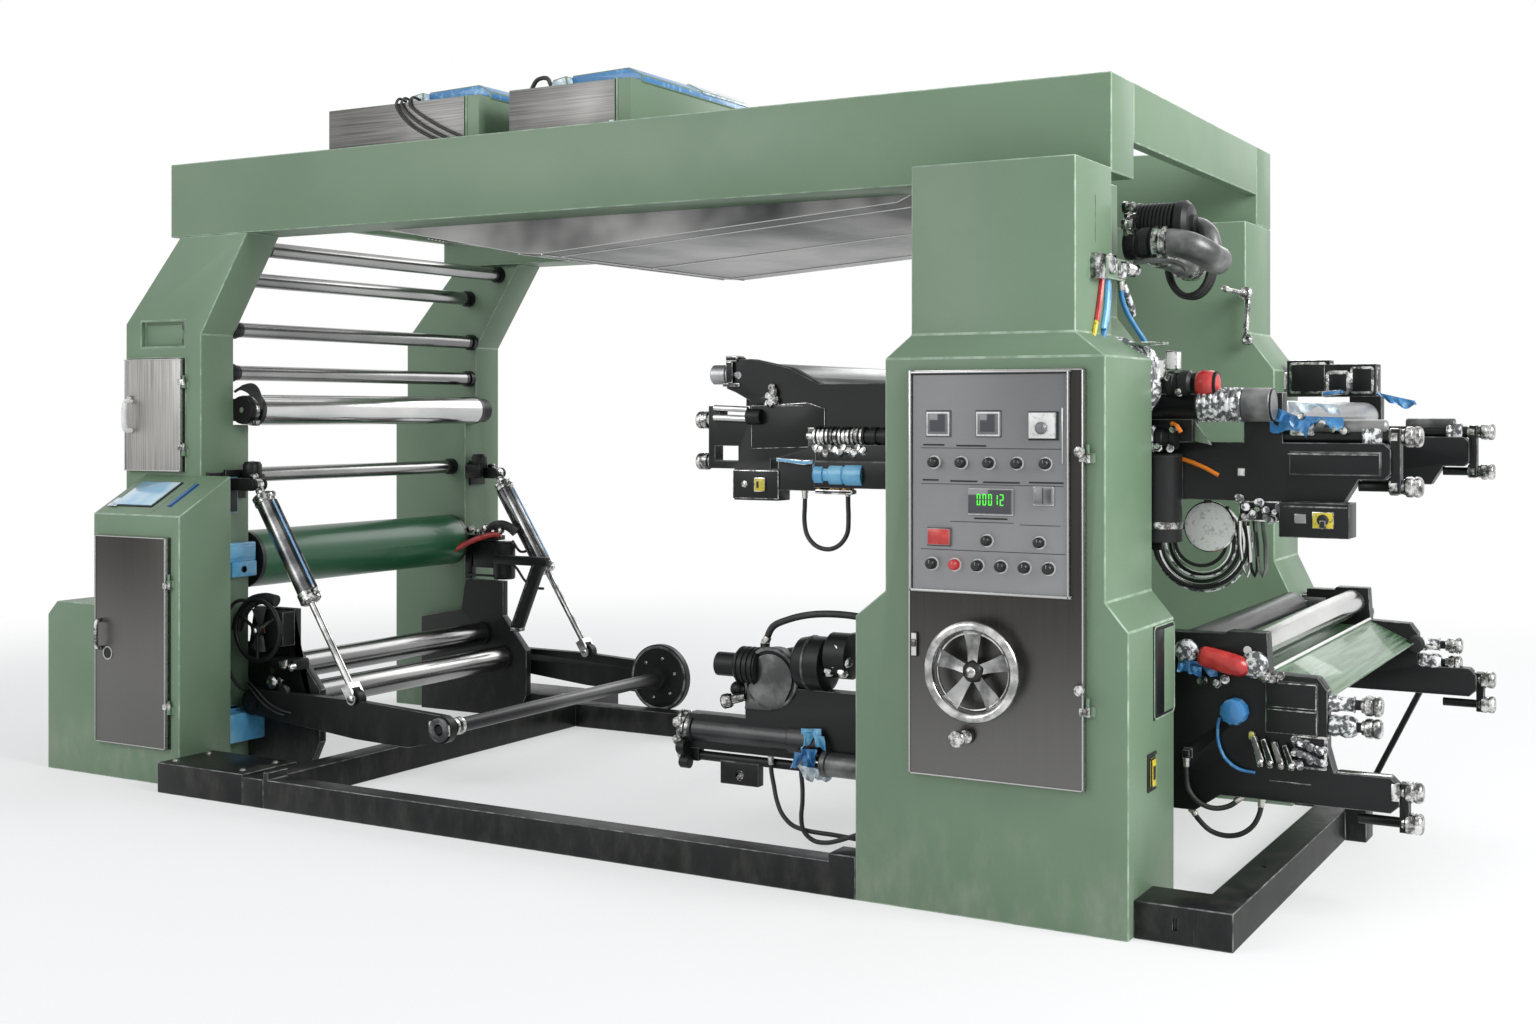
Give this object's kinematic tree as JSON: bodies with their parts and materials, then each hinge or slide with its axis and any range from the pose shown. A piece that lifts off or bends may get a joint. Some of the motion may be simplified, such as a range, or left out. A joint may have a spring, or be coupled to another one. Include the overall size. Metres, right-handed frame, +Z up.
{
  "type": "flexographic printing press",
  "caption": "Stack-type flexographic web printing press with portal side frames, print decks, control cabinet and winding station.",
  "frame": {"origin": "middle of the footprint, on the floor", "axes": "+X along the machine from the winding station to the print decks, -Y towards the operator, +Z up"},
  "size_m": [5.71, 2.579, 2.877],
  "materials": {
    "machine_paint": "satin sage-green enamel",
    "black_paint": "satin black enamel",
    "brushed_stainless": "vertical brushed grain",
    "chrome_steel": "hard chrome, ground",
    "dark_steel": "oiled steel",
    "green_rubber": "ground rubber",
    "black_rubber": "ground rubber",
    "hose_plastic": "clear and black plastic hose"
  },
  "bodies": {
    "machine_frame": {"base_front_rail": "black_paint", "base_rear_rail": "black_paint", "base_left_crossbar": "black_paint", "base_right_rail": "black_paint", "front_left_column": "machine_paint", "rear_left_column": "machine_paint", "front_right_column": "machine_paint", "rear_right_column": "machine_paint", "front_beam": "machine_paint", "rear_beam": "machine_paint", "cross_panels": "machine_paint", "dryer_hood": "brushed_stainless", "blower_boxes": "brushed_stainless", "blower_motor": "black_paint", "console_cabinet": "machine_paint", "control_cabinet": "machine_paint", "roller_bearings": "black_paint", "winder_side_plates": "black_paint", "cylinder_brackets": "black_paint", "left_upper_deck": "black_paint", "left_lower_deck": "black_paint", "right_upper_deck": "black_paint", "right_lower_deck": "black_paint", "ink_tray": "machine_paint", "hose_coil": "hose_plastic", "left_upper_hose": "black_rubber", "left_lower_hose": "black_rubber", "left_looped_hose": "black_rubber", "left_arched_hose": "black_rubber", "right_inner_hose": "black_rubber", "right_outer_hose": "black_rubber", "neck_hose": "hose_plastic"},
    "control_door": {"control_door": "brushed_stainless", "instrument_panel": "brushed_stainless"},
    "control_handwheel": {"control_handwheel": "chrome_steel"},
    "console_upper_door": {"console_upper_door": "brushed_stainless"},
    "console_lower_door": {"console_lower_door": "brushed_stainless"},
    "winder_handwheel": {"winder_handwheel": "black_paint"},
    "winding_arms": {"winding_arms": "black_paint"},
    "reel_shaft": {"reel_shaft": "dark_steel"},
    "arm_cylinders": {"arm_cylinders": "chrome_steel"},
    "cylinder_rods": {"cylinder_rods": "chrome_steel"},
    "guide_roller_1": {"guide_roller_1": "chrome_steel"},
    "guide_roller_2": {"guide_roller_2": "chrome_steel"},
    "guide_roller_3": {"guide_roller_3": "chrome_steel"},
    "guide_roller_4": {"guide_roller_4": "chrome_steel"},
    "guide_roller_5": {"guide_roller_5": "chrome_steel"},
    "chrome_roller": {"chrome_roller": "chrome_steel"},
    "rubber_drum": {"rubber_drum": "green_rubber"},
    "winding_drum_rear": {"winding_drum_rear": "chrome_steel"},
    "winding_drum_front": {"winding_drum_front": "chrome_steel"},
    "left_upper_roller": {"left_upper_roller": "chrome_steel"},
    "left_lower_roller": {"left_lower_roller": "black_rubber"},
    "right_upper_roller": {"right_upper_roller": "chrome_steel"},
    "right_ink_roller": {"right_ink_roller": "black_rubber"},
    "right_anilox_roller": {"right_anilox_roller": "chrome_steel"}
  },
  "joints": [
    {"name": "control_door_hinge", "type": "hinge", "parent": "machine_frame", "child": "control_door", "pos_m": [2.003, -1.2035, 1.072], "axis": [0, 0, 1], "range_deg": [0, 110]},
    {"name": "control_handwheel_spin", "type": "hinge", "parent": "control_door", "child": "control_handwheel", "pos_m": [1.656, -1.2745, 0.78], "axis": [0, 1, 0], "continuous": true},
    {"name": "console_upper_door_hinge", "type": "hinge", "parent": "machine_frame", "child": "console_upper_door", "pos_m": [-2.303, -0.8035, 1.564], "axis": [0, 0, 1], "range_deg": [0, 110]},
    {"name": "console_lower_door_hinge", "type": "hinge", "parent": "machine_frame", "child": "console_lower_door", "pos_m": [-2.073, -1.0885, 0.6], "axis": [0, 0, 1], "range_deg": [0, 110]},
    {"name": "winder_handwheel_spin", "type": "hinge", "parent": "machine_frame", "child": "winder_handwheel", "pos_m": [-2.015, -0.6455, 0.613], "axis": [0, 1, 0], "continuous": true},
    {"name": "winding_arm_pivot", "type": "hinge", "parent": "machine_frame", "child": "winding_arms", "pos_m": [-2.075, -0.6005, 0.29], "axis": [0, -1, 0], "range_deg": [0, 25]},
    {"name": "reel_shaft_spin", "type": "hinge", "parent": "winding_arms", "child": "reel_shaft", "pos_m": [-0.995, 0.2495, 0.262], "axis": [0, 1, 0], "continuous": true},
    {"name": "cylinder_swing", "type": "hinge", "parent": "machine_frame", "child": "arm_cylinders", "pos_m": [-2.065, -0.6005, 1.255], "axis": [0, -1, 0], "range_deg": [0, 4.64]},
    {"name": "cylinder_stroke", "type": "slide", "parent": "arm_cylinders", "child": "cylinder_rods", "axis": [0.5461, 0, -0.8377], "range_m": [-0.24964, 0]},
    {"name": "guide_roller_1_spin", "type": "hinge", "parent": "machine_frame", "child": "guide_roller_1", "pos_m": [-2.055, 0.2495, 2.303], "axis": [0, 1, 0], "continuous": true},
    {"name": "guide_roller_2_spin", "type": "hinge", "parent": "machine_frame", "child": "guide_roller_2", "pos_m": [-2.255, 0.2495, 2.182], "axis": [0, 1, 0], "continuous": true},
    {"name": "guide_roller_3_spin", "type": "hinge", "parent": "machine_frame", "child": "guide_roller_3", "pos_m": [-2.235, 0.2495, 1.949], "axis": [0, 1, 0], "continuous": true},
    {"name": "guide_roller_4_spin", "type": "hinge", "parent": "machine_frame", "child": "guide_roller_4", "pos_m": [-2.251, 0.2495, 1.755], "axis": [0, 1, 0], "continuous": true},
    {"name": "guide_roller_5_spin", "type": "hinge", "parent": "machine_frame", "child": "guide_roller_5", "pos_m": [-2.299, 0.2495, 1.289], "axis": [0, 1, 0], "continuous": true},
    {"name": "chrome_roller_spin", "type": "hinge", "parent": "machine_frame", "child": "chrome_roller", "pos_m": [-2.163, 0.2495, 1.587], "axis": [0, 1, 0], "continuous": true},
    {"name": "rubber_drum_spin", "type": "hinge", "parent": "machine_frame", "child": "rubber_drum", "pos_m": [-2.285, 0.2495, 0.905], "axis": [0, 1, 0], "continuous": true},
    {"name": "winding_drum_rear_spin", "type": "hinge", "parent": "machine_frame", "child": "winding_drum_rear", "pos_m": [-2.065, 0.2495, 0.42], "axis": [0, 1, 0], "continuous": true},
    {"name": "winding_drum_front_spin", "type": "hinge", "parent": "machine_frame", "child": "winding_drum_front", "pos_m": [-1.925, 0.2495, 0.305], "axis": [0, 1, 0], "continuous": true},
    {"name": "left_upper_roller_spin", "type": "hinge", "parent": "machine_frame", "child": "left_upper_roller", "pos_m": [0.425, 0.2495, 1.715], "axis": [0, 1, 0], "continuous": true},
    {"name": "left_lower_roller_spin", "type": "hinge", "parent": "machine_frame", "child": "left_lower_roller", "pos_m": [0.625, 0.2495, 0.62], "axis": [0, 1, 0], "continuous": true},
    {"name": "right_upper_roller_spin", "type": "hinge", "parent": "machine_frame", "child": "right_upper_roller", "pos_m": [2.375, 0.2495, 1.56], "axis": [0, 1, 0], "continuous": true},
    {"name": "right_ink_roller_spin", "type": "hinge", "parent": "machine_frame", "child": "right_ink_roller", "pos_m": [2.13, 0.2495, 0.8], "axis": [0, 1, 0], "continuous": true},
    {"name": "right_anilox_roller_spin", "type": "hinge", "parent": "machine_frame", "child": "right_anilox_roller", "pos_m": [2.325, 0.2495, 0.812], "axis": [0, 1, 0], "continuous": true}
  ],
  "couplings": [
    {"joint": "cylinder_swing", "follows": "winding_arm_pivot", "ratio": 0.18524},
    {"joint": "cylinder_stroke", "follows": "winding_arm_pivot", "m_per_rad": -0.57191}
  ]
}
